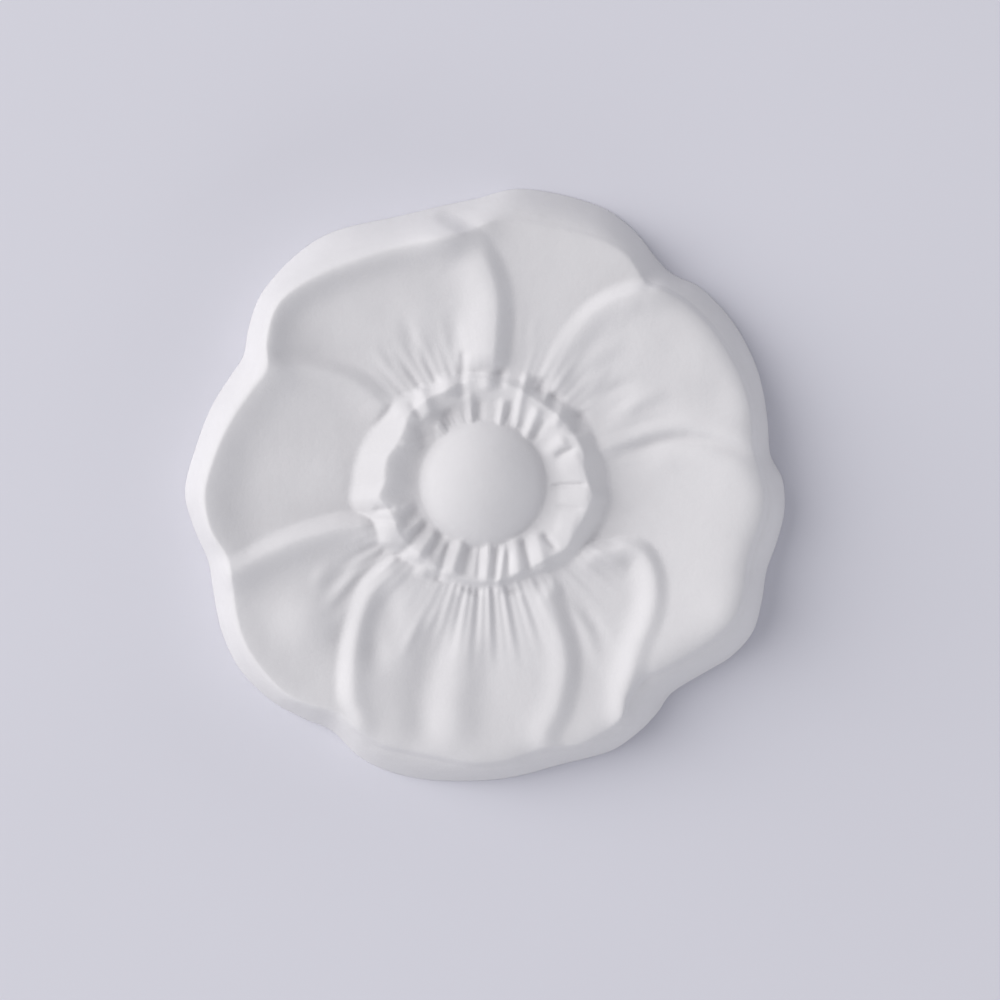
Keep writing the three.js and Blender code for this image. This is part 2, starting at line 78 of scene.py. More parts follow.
# Lines round the flower, each as (degrees from +X, value in mm).
WALL_FOOT = (
    (1, 39.4), (6, 38), (12, 38.3), (18, 38.8), (24, 39.2), (31, 39.3), (37, 39.1), (43, 38.6),
    (47, 37.6), (50, 37.3), (54, 37.8), (58, 38.7), (62, 39.4), (67, 39.9), (75, 39.8), (84, 39.5),
    (92, 38), (99, 37.5), (108, 37.5), (118, 38.8), (124, 39.5), (130, 39.6), (136, 39.4),
    (141, 39), (147, 37.7), (152, 36.5), (157, 36.9), (164, 37.9), (172, 38.8), (181, 40),
    (188, 39.3), (195, 38.3), (200, 38.7), (205, 39.5), (210, 40.3), (217, 40.9), (225, 40.5),
    (232, 39.4), (238, 38.6), (245, 39.9), (252, 40.2), (260, 39.9), (270, 39.3), (277, 38.9),
    (285, 38.5), (291, 38.8), (296, 39.1), (302, 38.6), (307, 37.9), (312, 37.1), (320, 38.5),
    (325, 39.8), (331, 40.5), (337, 39.8), (343, 39), (349, 39.4), (355, 39.8),
)
RIM = (
    (2, 35.9), (8, 35.3), (12, 35.7), (17, 36.1), (24, 36.2), (31, 36), (36, 35.8), (43, 35.2),
    (48, 34.3), (51, 33.6), (55, 34.5), (59, 35.3), (65, 35.3), (73, 34.8), (82, 34.7), (88, 34.6),
    (95, 33), (100, 32.5), (108, 32.9), (115, 33.4), (122, 34.1), (129, 35.1), (136, 36),
    (141, 35.8), (147, 34.3), (152, 32.4), (158, 33), (165, 34.2), (172, 35.4), (180, 36.7),
    (185, 36.9), (190, 36.5), (196, 35.2), (202, 35.8), (208, 37), (214, 37.9), (221, 38.1),
    (227, 37.9), (232, 36.8), (237, 35.6), (242, 36.2), (248, 36.7), (254, 36.3), (260, 36.2),
    (266, 36.5), (271, 36.5), (276, 36.1), (283, 35.4), (289, 36.2), (294, 36.1), (300, 35.4),
    (304, 33.2), (309, 32.4), (314, 33.5), (321, 34.9), (326, 36), (332, 36.9), (338, 36.5),
    (342, 35.8), (347, 35.7), (352, 36.3), (357, 36.5),
)
STAMEN_CREST = (
    (0, 13.9), (8, 13.5), (16, 13.8), (28, 13.6), (40, 13.3), (55, 13), (75, 13.3), (95, 13.6),
    (110, 13.2), (125, 13.2), (138, 13.2), (144, 12.7), (151, 12.4), (158, 12.5), (165, 13),
    (173, 13), (180, 13), (188, 13.8), (195, 13), (204, 12.7), (213, 12.9), (230, 12.6),
    (250, 12.8), (275, 13), (295, 12.7), (312, 13.2), (322, 13.9), (330, 13.8), (340, 14),
    (347, 14.3), (353, 14.6),
)
STAMEN_END = (
    (0, 17.5), (15, 17.2), (30, 16.8), (45, 16.2), (60, 15.6), (80, 15.8), (100, 16), (118, 15.8),
    (130, 16.6), (138, 17.6), (150, 17), (158, 17), (168, 17.4), (176, 17.8), (186, 18.2),
    (191, 17.8), (196, 17), (204, 17.4), (212, 17), (222, 16.4), (240, 15.4), (265, 15.2),
    (290, 15), (305, 15.6), (320, 17), (332, 17.4), (345, 17.7),
)
STAMEN_HEIGHT = (
    (0, 9), (20, 9), (45, 8.4), (70, 8.1), (95, 8.1), (120, 8.4), (140, 8.8), (165, 9), (185, 9.1),
    (200, 8.9), (215, 8.6), (240, 8.1), (275, 7.9), (300, 8.1), (325, 8.5), (345, 8.9),
)

# Petals from the lowest to the topmost. Each has
#   heights  near the stamens, half way and at the rim
#   lip      (height, width) of the outer rim, rounded off where the height is below 0
#   edge     (height, width) of the raised side along the outline
#   step     width of the drop just outside the outline
#   outline  points round the petal; beyond the rim they only close the loop
#   folds    (points, height, width), a valley where the height is below 0
#   mounds   (middle, height, radius), a hollow where the height is below 0
PETALS = (
    dict(
        name="north", heights=(6.9, 7, 7.9), lip=(-0.4, 1.4), edge=(0, 1.5), step=1.3,
        outline=((-8, 40), (5, 44), (20, 40), (28, 28), (18, 8), (0, 0), (-7, 8)),
        folds=(
            (((4.8, 25.5), (4.2, 15)), 0.12, 0.7),
            (((6.8, 23), (5.5, 16.5)), 0.1, 0.6),
            (((3.2, 26), (3.5, 14)), -0.2, 1.4),
        ),
        mounds=(((-1, 34), 0.9, 2.6),),
    ),
    dict(
        name="north-west", heights=(6.7, 6.6, 7.4), lip=(1.6, 2.2), edge=(2, 3.6), step=2.6,
        outline=(
            (0, 2), (0.3, 9.5), (0.6, 14), (1, 18), (1.3, 22), (1.2, 25), (0.6, 27.5), (-0.6, 30),
            (-2.2, 31.8), (-4.5, 33.2), (-7, 35), (-10, 42), (-24, 40), (-37, 24), (-33, 8.5),
            (-11, -2),
        ),
        folds=(
            (((-11.4, 23.5), (-9.6, 18), (-8.2, 14)), -0.3, 1),
            (((-14.5, 19.5), (-11, 14.5)), -0.15, 0.8),
            (((-7.6, 21.5), (-6.6, 18), (-6, 15)), -0.15, 0.8),
            (((-4.6, 24), (-4, 19), (-3.8, 15)), -0.3, 1.1),
            (((-15.5, 18), (-12, 14.5), (-9.8, 12.6)), 0.2, 0.9),
            (((-9.6, 21), (-8, 15.5)), 0.15, 0.7),
        ),
        mounds=(
            ((-27, 17.5), 0.9, 3.4), ((-11, 24), 0.5, 6.5), ((-12.5, 23), -0.3, 3),
            ((-2.2, 32.5), -1.3, 2.6),
        ),
    ),
    dict(
        name="west", heights=(5.8, 6.5, 7.8), lip=(0.9, 3), edge=(1.4, 2.6), step=2.3,
        outline=(
            (-8.5, 7), (-13.4, 10.4), (-15.2, 12), (-17, 13.2), (-19, 14.1), (-21.5, 14.8),
            (-24.5, 15.3), (-28, 15.8), (-31.5, 17.5), (-37, 20), (-47, 11), (-47, -15),
            (-31, -20), (-8.5, -10),
        ),
        folds=(
            (((-29.5, 8), (-31, 0), (-29, -8)), -0.35, 3.5),
        ),
        mounds=(((-20, 1), 0.3, 4),),
    ),
    dict(
        name="south-west", heights=(6.2, 6.8, 7.4), lip=(0.45, 2.8), edge=(1.6, 2.4), step=2.5,
        outline=(
            (-8.5, -5.6), (-17, -5.8), (-21, -6.4), (-25.5, -7.8), (-29, -9.4), (-31.5, -10.7),
            (-34, -11.6), (-38.5, -11), (-47, -14), (-37, -36), (-11, -45), (0, -15),
        ),
        folds=(
            (((-22.5, -15.5), (-19, -11.8), (-16.5, -9)), -0.3, 0.9),
            (((-20.8, -17.8), (-17.6, -13.8), (-15, -11)), -0.3, 0.9),
            (((-20, -22.5), (-18.5, -17.5)), -0.2, 1.2),
            (((-23.5, -13.8), (-20, -10)), 0.2, 0.9),
            (((-21.5, -16.8), (-18, -12.8), (-15.8, -10)), 0.25, 0.8),
        ),
        mounds=(((-23.5, -18), 1, 4),),
    ),
    dict(
        name="east", heights=(6.3, 7.5, 10), lip=(-1.6, 1.7), edge=(0.35, 2.4), step=3.4,
        outline=(
            (4.5, 0.5), (14, 9), (24, 13), (34, 13), (48, 10), (48, -22), (28, -35), (10, -20),
        ),
        folds=(
            (((18, 4.6), (24, 6.4), (29, 6.2), (33, 5), (38, 3.4)), -0.7, 1.3),
            (((20, 2.4), (26, 3.6), (32, 2.6), (37, 1)), 0.35, 1.6),
            (((16.5, 4.2), (23, 5.8)), -0.2, 0.8),
            (((17, -3.3), (23, -3.6)), -0.12, 0.9),
        ),
        mounds=(((33, -18), 0.8, 4),),
    ),
    dict(
        name="north-east", heights=(6.4, 7.1, 9.4), lip=(-1.5, 1.6), edge=(0.8, 2.2), step=2.3,
        outline=(
            (2, 2), (8, 11), (8.8, 13.6), (9.6, 16), (10.8, 18.2), (12.6, 20.6), (14.5, 22.5),
            (16.6, 23.8), (20, 25), (23, 26), (28, 31), (41, 24), (46, 8), (39, 4.8),
            (35.5, 5.6), (32.5, 6.6), (29.5, 7.4), (26, 7.8), (22, 7.2), (18, 6), (14, 4.4),
        ),
        folds=(
            (((13.5, 11), (16.5, 12.4), (20.5, 13.6)), -0.4, 1),
            (((15.5, 8.5), (18, 9.5), (20.5, 11), (24.5, 12.2)), 0.5, 1.1),
            (((15.2, 6.6), (18.5, 7.2), (22, 8.4), (27, 9)), -0.3, 0.9),
            (((11.5, 13.5), (15, 17), (19, 20)), 0.3, 1.3),
            (((13, 12.5), (17, 16)), 0.12, 0.7),
        ),
        mounds=(((31, 12), -0.5, 3.4), ((20.5, 18.5), 0.2, 3)),
    ),
    dict(
        name="south-east", heights=(6.4, 6.9, 8.6), lip=(-1, 1.4), edge=(1.4, 2), step=1.9,
        outline=(
            (4.5, -2), (12, -8.5), (16, -9), (18.5, -8.4), (20.4, -8.8), (21.6, -10.4),
            (22.2, -12.4), (22.3, -14.8), (22, -17), (21.2, -19.3), (20.3, -21.5), (19.6, -24.2),
            (19, -27), (18.7, -30), (19.5, -34), (20, -45), (2, -48), (2, -15),
        ),
        folds=(
            (((10.2, -14.6), (13, -19), (15, -25)), 0.25, 0.9),
            (((11.4, -14.2), (14.6, -18.8), (16.5, -22.5)), -0.25, 0.9),
        ),
        mounds=(),
    ),
    dict(
        name="south", heights=(7, 7.7, 8.9), lip=(-1.3, 1.6), edge=(0.65, 1.8), step=2.6,
        outline=(
            (0, -2), (-8.5, -9), (-11.6, -10.6), (-13.3, -12.5), (-15, -15), (-16.2, -18),
            (-17, -21.5), (-17.4, -25), (-17.3, -28.5), (-16.6, -31), (-17.5, -34), (-23, -48),
            (15, -49), (9.6, -38), (7.8, -33.5), (9.3, -29.5), (10.2, -25.5), (10.2, -22),
            (9.3, -18.4), (8.2, -15.4), (7.2, -12.5),
        ),
        folds=(
            (
                ((-11.2, -12.2), (-13.3, -15), (-14.6, -18.5), (-14.8, -22), (-14.4, -26)),
                -0.9, 1.7,
            ),
            (((-11, -14), (-12.2, -18), (-12.6, -23)), -0.4, 1.4),
            (((-7.4, -15), (-9.6, -19.5), (-11.6, -24)), 0.22, 0.7),
            (((-6, -15.6), (-8.4, -20)), 0.16, 0.6),
            (((-4.8, -17), (-7.2, -23), (-8.2, -29), (-8, -36)), -0.8, 2.4),
            (((-2.2, -17), (-3.4, -27), (-3.4, -36)), 0.4, 2.2),
            (((0, -20), (0.5, -31)), -0.2, 2.2),
        ),
        mounds=(((-5, -30.5), 0.5, 3.4),),
    ),
)

# Ribs that lie outward from the dome (height above 0) and the cuts between them (below 0),
# each as (points, height, width). Clockwise from the left; the last four are short marks
# at the lower foot of the ring.
STAMENS = (
    (((-12, 11.8), (-11, 8.4)), 0.25, 1.4),
    (((-9, 8.6), (-8, 5.2)), -0.4, 1),
    (((-10, 11.2), (-8.4, 8.2)), -0.35, 0.6),
    (((-8.8, 13.2), (-7, 8.6)), 0.5, 0.8),
    (((-6.8, 8.2), (-5, 5.8)), 0.3, 0.7),
    (((-5.4, 10.2), (-4.3, 7)), -0.55, 0.9),
    (((-5.3, 14.8), (-5, 11.4)), 0.65, 1.2),
    (((-2.9, 18), (-3.1, 14.4), (-3.3, 10.8)), -0.35, 0.6),
    (((-2.1, 12.6), (-1.9, 7.4)), 0.35, 0.6),
    (((-0.8, 11.6), (-0.8, 8)), -0.3, 0.6),
    (((0.2, 15.4), (0.2, 11.9)), 0.4, 0.9),
    (((2.1, 15.8), (1.8, 12.2)), -0.5, 0.7),
    (((2.4, 11.6), (1.7, 7)), 0.4, 0.6),
    (((3.6, 11.4), (2.8, 7.8)), -0.3, 0.5),
    (((5.6, 15), (4.6, 11), (3.9, 7)), 0.4, 0.6),
    (((7.3, 14.4), (7, 11.4)), -0.65, 0.9),
    (((7.1, 10.4), (5, 5.5)), 0.55, 0.7),
    (((8.3, 13.2), (7.8, 10.8)), 0.25, 0.4),
    (((8, 8.8), (6, 5.6)), -0.35, 0.5),
    (((9.4, 12.4), (8.5, 9.6)), -0.6, 0.8),
    (((10.4, 10.4), (8.8, 7.2)), 0.4, 0.7),
    (((12.1, 10), (12.3, 6.2)), -0.8, 1.1),
    (((10.8, 6.2), (7.8, 3.6)), 0.55, 0.9),
    (((12.2, 5), (9, 3.5)), -0.35, 0.5),
    (((12.8, 3.9), (9.5, 2)), 0.3, 1.3),
    (((13.6, 0), (8.4, -0.2)), -0.35, 0.4),
    (((14.2, -1.7), (9.5, -1.6)), 0.3, 1),
    (((13, -3.4), (9, -2.8)), -0.2, 0.4),
    (((12.3, -6), (9, -4.8)), 0.3, 1.5),
    (((9.6, -8.8), (7.3, -6.2)), -0.4, 0.5),
    (((8, -11.8), (6.4, -5.8)), 0.5, 0.9),
    (((6, -11.8), (4.8, -6.8)), -0.45, 0.5),
    (((4.4, -12.6), (3.7, -6.5)), 0.55, 0.9),
    (((3, -12.6), (3, -8.5)), -0.2, 0.4),
    (((1.5, -14.8), (2.5, -7.6)), 0.35, 0.5),
    (((1.2, -13), (1.6, -7.8)), -0.25, 0.45),
    (((0, -13.2), (0.5, -7.3)), 0.45, 0.65),
    (((-1.1, -12.8), (-0.7, -7.8)), -0.2, 0.4),
    (((-2.9, -12.4), (-1.6, -7.2)), -0.45, 0.75),
    (((-4.6, -12.2), (-3, -6.8)), 0.5, 0.75),
    (((-6.4, -13.2), (-5.7, -10.4), (-4.6, -7.2)), -0.35, 0.5),
    (((-7.6, -9.6), (-5.4, -5.8)), -0.45, 0.7),
    (((-9.6, -10.4), (-8, -8.2), (-6.3, -5.9)), 0.45, 0.75),
    (((-8.6, -12.6), (-8, -10.4)), 0.5, 1.1),
    (((-12.4, -9.8), (-10.6, -8.6), (-9, -6.6), (-7.4, -4.8)), -0.4, 0.6),
    (((-10.8, -6.6), (-8, -4.4)), 0.3, 0.5),
    (((-11.2, -5.4), (-8.5, -2.8)), -0.45, 0.9),
    (((-11.4, -3.2), (-9, -2.4)), 0.25, 0.45),
    (((-13.2, -8.6), (-12.9, -4.6)), 0.9, 1.8),
    (((-15.2, -3.4), (-11.6, -3.1)), -0.35, 0.5),
    (((-11.6, 5.4), (-8, 5.2)), 0.25, 0.5),
    (((3.8, -13.4), (3.6, -15)), -0.4, 1.1),
    (((-1.2, -13.2), (-1.8, -14.8)), -0.35, 1),
    (((-3.3, -13), (-3.2, -15)), 0.25, 0.6),
    (((6, -13.4), (9, -12.6)), -0.3, 1.1),
)

# Fine pleats of the petals beside the stamens, as (degrees, value): how high, and how far out.
PLEAT_HEIGHT = (
    (0, 0.03), (20, 0.04), (40, 0.06), (60, 0.05), (80, 0.04), (100, 0.05), (120, 0.09),
    (140, 0.05), (160, 0.02), (180, 0.015), (200, 0.03), (216, 0.12), (235, 0.06), (255, 0.11),
    (275, 0.14), (295, 0.12), (315, 0.07), (340, 0.03),
)
PLEAT_END = (
    (0, 23), (60, 23), (85, 25), (105, 25), (120, 25), (150, 22), (180, 21), (215, 25),
    (255, 26), (285, 26), (320, 24),
)
PLEATS_ROUND = 43
FINE_PLEATS_ROUND = 89
FINE_PLEAT_SHARE = 0.5  # height of the fine pleats against the broad ones
PLEAT_START_RADIUS = 17.0
# Slow waves that make the pleats uneven, as (change of phase, waves round, starting phase),
# phases in degrees.
BROAD_PLEAT_SHIFTS = ((40, 5, 0), (30, 3, 50))
FINE_PLEAT_SHIFT = (60, 4, 20)
# The pleats' height swells and falls by PLEAT_SWELL either side of PLEAT_SWELL_MIDDLE.
PLEAT_SWELL_MIDDLE = 0.7
PLEAT_SWELL = 0.5
PLEAT_SWELLS_ROUND = 7
PLEAT_SWELL_SHIFT = (60, 2, 0)

# ---------------------------------------------------------------- mesh fineness
SECTORS = 600
RING_PARTS = (
    # share of the rings, from and to as a share of the way to the rim
    (20, 0.0, 0.22),
    (42, 0.22, 0.5),
    (62, 0.5, 1.0),
)
WALL_RINGS = 24
CORNER_RINGS = 4  # round the corner between wall and back
BACK_RINGS = 8


# ---------------------------------------------------------------- the relief
def smooth(share):
    """Goes from 0 to 1 with the share, with soft ends."""
    t = np.clip(share, 0, 1)
    return t * t * (3 - 2 * t)


def soft_max(a, b, blend):
    """The higher of two heights, with the valley between them filleted."""
    t = np.clip(0.5 + 0.5 * (a - b) / blend, 0, 1)
    return b + (a - b) * t + 0.5 * blend * t * (1 - t)


def smooth_line(points, closed=False, steps=6):
    """A smooth line through the points, as short straight pieces."""
    points = np.asarray(points, float)
    if closed:
        before, start = np.roll(points, 1, axis=0), points
        end, after = np.roll(points, -1, axis=0), np.roll(points, -2, axis=0)
    else:
        first = 2 * points[0] - points[1]
        last = 2 * points[-1] - points[-2]
        padded = np.vstack([first, points, last])
        before, start, end, after = padded[:-3], padded[1:-2], padded[2:-1], padded[3:]
    stations = []
    for t in np.arange(steps) / steps:
        stations.append(
            0.5 * (
                2 * start
                + (end - before) * t
                + (2 * before - 5 * start + 4 * end - after) * t**2
                + (3 * start - before - 3 * end + after) * t**3
            )
        )
    line = np.stack(stations, axis=1).reshape(-1, 2)
    return np.vstack([line, points[:1] if closed else points[-1:]])


def around_flower(pairs):
    """Reads a line given as (degrees, value) pairs at any angle, in degrees."""
    polar = np.array(pairs, float)
    angles = np.radians(polar[:, 0])
    points = np.column_stack([np.cos(angles), np.sin(angles)]) * polar[:, 1:]
    line = smooth_line(points, closed=True)[:-1]
    degrees = np.degrees(np.arctan2(line[:, 1], line[:, 0])) % 360
    order = np.argsort(degrees)
    values = np.hypot(line[:, 0], line[:, 1])
    return lambda at: np.interp(at % 360, degrees[order], values[order], period=360)


def read_table(pairs):
    """Reads (degrees, value) pairs at any angle, straight between them."""
    degrees, values = zip(*pairs)
    return lambda at: np.interp(at % 360, degrees, values, period=360)


def nearest(line, x, y, reach):
    """For the points within reach of a line's box: which they are, how far from the line,
    how far along it, and the line's length."""
    low, high = line.min(axis=0) - reach, line.max(axis=0) + reach
    near = (x > low[0]) & (x < high[0]) & (y > low[1]) & (y < high[1])
    px, py = x[near], y[near]
    best = np.full(px.shape, np.inf)
    along = np.zeros(px.shape)
    length = 0.0
    for start, end in zip(line[:-1], line[1:]):
        dx, dy = end - start
        piece = math.hypot(dx, dy)
        if piece < SHORTEST_PIECE:
            continue
        share = np.clip(((px - start[0]) * dx + (py - start[1]) * dy) / piece**2, 0, 1)
        distance = np.hypot(px - start[0] - share * dx, py - start[1] - share * dy)
        closer = distance < best
        best = np.where(closer, distance, best)
        along = np.where(closer, length + share * piece, along)
        length += piece
    return near, best, along, length


def is_inside(line, x, y):
    """Which points lie inside a closed line."""
    inside = np.zeros(x.shape, bool)
    for a, b in zip(line[:-1], line[1:]):
        if a[1] == b[1]:
            continue
        crosses = (a[1] > y) != (b[1] > y)
        inside ^= crosses & (x < (b[0] - a[0]) * (y - a[1]) / (b[1] - a[1]) + a[0])
    return inside


def add_folds(height, folds, taper, x, y):
    """Adds rounded ridges and valleys that fade in at their ends."""
    for points, rise, width in folds:
        line = smooth_line(points)
        near, distance, along, length = nearest(line, x, y, FOLD_REACH * width)
        end = min(taper, length / 2)
        fade = smooth(along / end + END_FULLNESS) * smooth((length - along) / end + END_FULLNESS)
        height[near] += rise * np.exp(-((distance / width) ** 2)) * fade
    return height


def petal_height(x, y, radius, rim):
    """The eight petals, each laid over the ones before it."""
    share = (radius - PETAL_START_RADIUS) / (rim - PETAL_START_RADIUS)
    share = np.clip(share, CUP_FROM, CUP_TO)
    whole = np.zeros(x.shape)
    for order, petal in enumerate(PETALS):
        near_height, half_way, high = petal["heights"]
        height = (
            near_height * (1 - share) * (1 - 2 * share)
            + half_way * 4 * share * (1 - share)
            + high * share * (2 * share - 1)
        )
        lip_rise, lip_width = petal["lip"]
        inset = rim - radius
        if lip_rise > 0:
            height += lip_rise * np.exp(-((inset / lip_width) ** 2))
        else:
            height += lip_rise * np.exp(-np.maximum(inset, -SHOULDER) / lip_width)
        line = smooth_line(petal["outline"], closed=True)
        distance = nearest(line, x, y, EVERYWHERE)[1]
        within = np.where(is_inside(line, x, y), distance, -distance)
        edge_rise, edge_width = petal["edge"]
        edge_from = smooth((radius - EDGE_START_RADIUS) / EDGE_START_LENGTH)
        beside = np.maximum(within, -EDGE_OVERRUN)
        height += edge_rise * edge_from * np.exp(-((beside / edge_width) ** 2))
        height = add_folds(height, petal["folds"], FOLD_TAPER, x, y)
        for middle, rise, mound_radius in petal["mounds"]:
            away = np.hypot(x - middle[0], y - middle[1])
            height += rise * np.exp(-((away / mound_radius) ** 2))
        cover = smooth((within + petal["step"]) / petal["step"]) if order else 1.0
        whole += (height - whole) * cover
    return whole


def sine(degrees):
    return np.sin(np.radians(degrees))


def pleat_height(radius, degrees):
    """Fine uneven pleats that run out from the stamens."""
    def shift(size, waves, start):
        return size * sine(waves * degrees + start)

    broad_shift = sum(shift(*wave) for wave in BROAD_PLEAT_SHIFTS)
    broad = sine(PLEATS_ROUND * degrees + broad_shift)
    fine = sine(FINE_PLEATS_ROUND * degrees + shift(*FINE_PLEAT_SHIFT))
    swell = sine(PLEAT_SWELLS_ROUND * degrees + shift(*PLEAT_SWELL_SHIFT))
    swell = PLEAT_SWELL_MIDDLE + PLEAT_SWELL * swell
    reach = read_table(PLEAT_END)(degrees) - PLEAT_START_RADIUS
    fade = 1 - smooth((radius - PLEAT_START_RADIUS) / reach)
    height = read_table(PLEAT_HEIGHT)(degrees) * swell
    return height * (broad + FINE_PLEAT_SHARE * fine) * fade


def stamen_ring_height(x, y):
    """A collar that climbs from the dome and falls away outward."""
    dx, dy = x - DOME_MIDDLE[0], y - DOME_MIDDLE[1]
    radius = np.hypot(dx, dy)
    degrees = np.degrees(np.arctan2(dy, dx))
    crest = around_flower(STAMEN_CREST)(degrees)
    top = around_flower(STAMEN_HEIGHT)(degrees)
    end = around_flower(STAMEN_END)(degrees)
    climb = smooth((radius - STAMEN_FOOT_RADIUS) / (crest - STAMEN_FOOT_RADIUS))
    fall = np.clip(1 - (radius - crest) / (end - crest), 0, 1) ** STAMEN_FALL
    return np.where(
        radius < crest,
        STAMEN_FOOT_HEIGHT + (top - STAMEN_FOOT_HEIGHT) * climb,
        STAMEN_OUTER_HEIGHT + (top - STAMEN_OUTER_HEIGHT) * fall,
    )


def dome_height(x, y):
    """A cap of a sphere in the middle of the flower."""
    radius = np.hypot(x - DOME_MIDDLE[0], y - DOME_MIDDLE[1])
    cap = DOME_TOP - DOME_CURVATURE + np.sqrt(np.maximum(DOME_CURVATURE**2 - radius**2, 0))
    return np.where(radius < DOME_RADIUS + DOME_REACH, cap, 0)


foot_radius = around_flower(WALL_FOOT)
rim_radius = around_flower(RIM)


def flower_height(x, y):
    """Height of the finished flower above its flat back, mm."""
    radius = np.hypot(x, y)
    degrees = np.degrees(np.arctan2(y, x))
    foot, rim = foot_radius(degrees), rim_radius(degrees)
    petals = petal_height(x, y, radius, rim) + pleat_height(radius, degrees)
    whole = soft_max(petals, stamen_ring_height(x, y), BLEND)
    whole = add_folds(whole, STAMENS, STAMEN_TAPER, x, y)
    whole = soft_max(whole, dome_height(x, y), DOME_BLEND)
    up_wall = np.clip((foot - radius) / (foot - rim), 0, 1)
    return BACK_ROUNDING + (whole - BACK_ROUNDING) * (1 - (1 - up_wall) ** WALL_FULLNESS)


# ---------------------------------------------------------------- the mesh
def ring_radii(degrees):
    """Radii of the mesh rings at each angle, from the middle out to the foot of the wall."""
    foot, rim = foot_radius(degrees), rim_radius(degrees)
    radii = []
    for count, start, end in RING_PARTS:
        for i in range(count):
            radii.append(rim * (start + (end - start) * (i + 1) / count))
    for i in range(WALL_RINGS):
        radii.append(rim + (foot - rim) * (i + 1) / WALL_RINGS)
    return np.array(radii)


def casting_mesh():
    """One closed surface: middle, rings out to the wall's foot, rounded corner, flat back."""
    degrees = np.arange(SECTORS) * 360 / SECTORS
    angles = np.radians(degrees)
    radii = ring_radii(degrees)
    top_x, top_y = radii * np.cos(angles), radii * np.sin(angles)
    rings_z = [flower_height(top_x.ravel(), top_y.ravel()).reshape(top_x.shape)]
    rings_r = [radii]

    foot = radii[-1]
    for i in range(1, CORNER_RINGS + 1):
        turn = math.pi / 2 * i / CORNER_RINGS
        rings_r.append((foot - BACK_ROUNDING * (1 - math.cos(turn)))[None, :])
        rings_z.append(np.full((1, SECTORS), BACK_ROUNDING * (1 - math.sin(turn))))
    for i in range(1, BACK_RINGS):
        rings_r.append(((foot - BACK_ROUNDING) * (1 - i / BACK_RINGS))[None, :])
        rings_z.append(np.zeros((1, SECTORS)))

    r = np.vstack(rings_r)
    z = np.vstack(rings_z)
    ring_points = np.stack([r * np.cos(angles), r * np.sin(angles), z], axis=-1).reshape(-1, 3)
    middle_height = flower_height(np.zeros(1), np.zeros(1))[0]
    points = np.vstack([ring_points, [[0, 0, middle_height], [0, 0, 0]]])
    points[:, :2] -= (points[:, :2].min(axis=0) + points[:, :2].max(axis=0)) / 2

    rings = len(r)
    top_middle, back_middle = rings * SECTORS, rings * SECTORS + 1
    faces = []
    for ring in range(rings - 1):
        inner, outer = ring * SECTORS, (ring + 1) * SECTORS
        for here in range(SECTORS):
            next_one = (here + 1) % SECTORS
            faces.append((inner + here, outer + here, outer + next_one, inner + next_one))
    last = (rings - 1) * SECTORS
    for here in range(SECTORS):
        next_one = (here + 1) % SECTORS
        faces.append((top_middle, here, next_one))
        faces.append((last + next_one, last + here, back_middle))

    mesh = bpy.data.meshes.new("flower_relief")
    mesh.from_pydata((points * MM).tolist(), [], faces)
    mesh.update()
    mesh.shade_smooth()
    return mesh


# ---------------------------------------------------------------- materials
# Bump depths are in metres. A plaster noise scale is about its lumps per metre, and
# PAPER_SCALE the lumps across the whole sheet of paper.
PLASTER_DARK = (0.645, 0.638, 0.65, 1)
PLASTER_LIGHT = (0.685, 0.678, 0.69, 1)
PLASTER_DULL_LOW = (0.82, 0.82, 0.82, 1)  # roughness from 0.82 to 0.95
PLASTER_DULL_HIGH = (0.95, 0.95, 0.95, 1)
PLASTER_SHINE = 0.25
TONE_SCALE = 60
DULL_SCALE = 400
GRAIN_SCALE = 2600
GRAIN_DEPTH = 0.00012
GRAIN_STRENGTH = 0.25
LUMP_SCALE = 380
LUMP_DEPTH = 0.0003
LUMP_STRENGTH = 0.3
RAMP_START = 0.3
RAMP_END = 0.7
PAPER_DARK = (0.64, 0.64, 0.695, 1)
PAPER_LIGHT = (0.66, 0.66, 0.715, 1)
PAPER_SCALE = 30
PAPER_DETAIL = 4
PAPER_DULLNESS = 0.95
PAPER_SHINE = 0.1


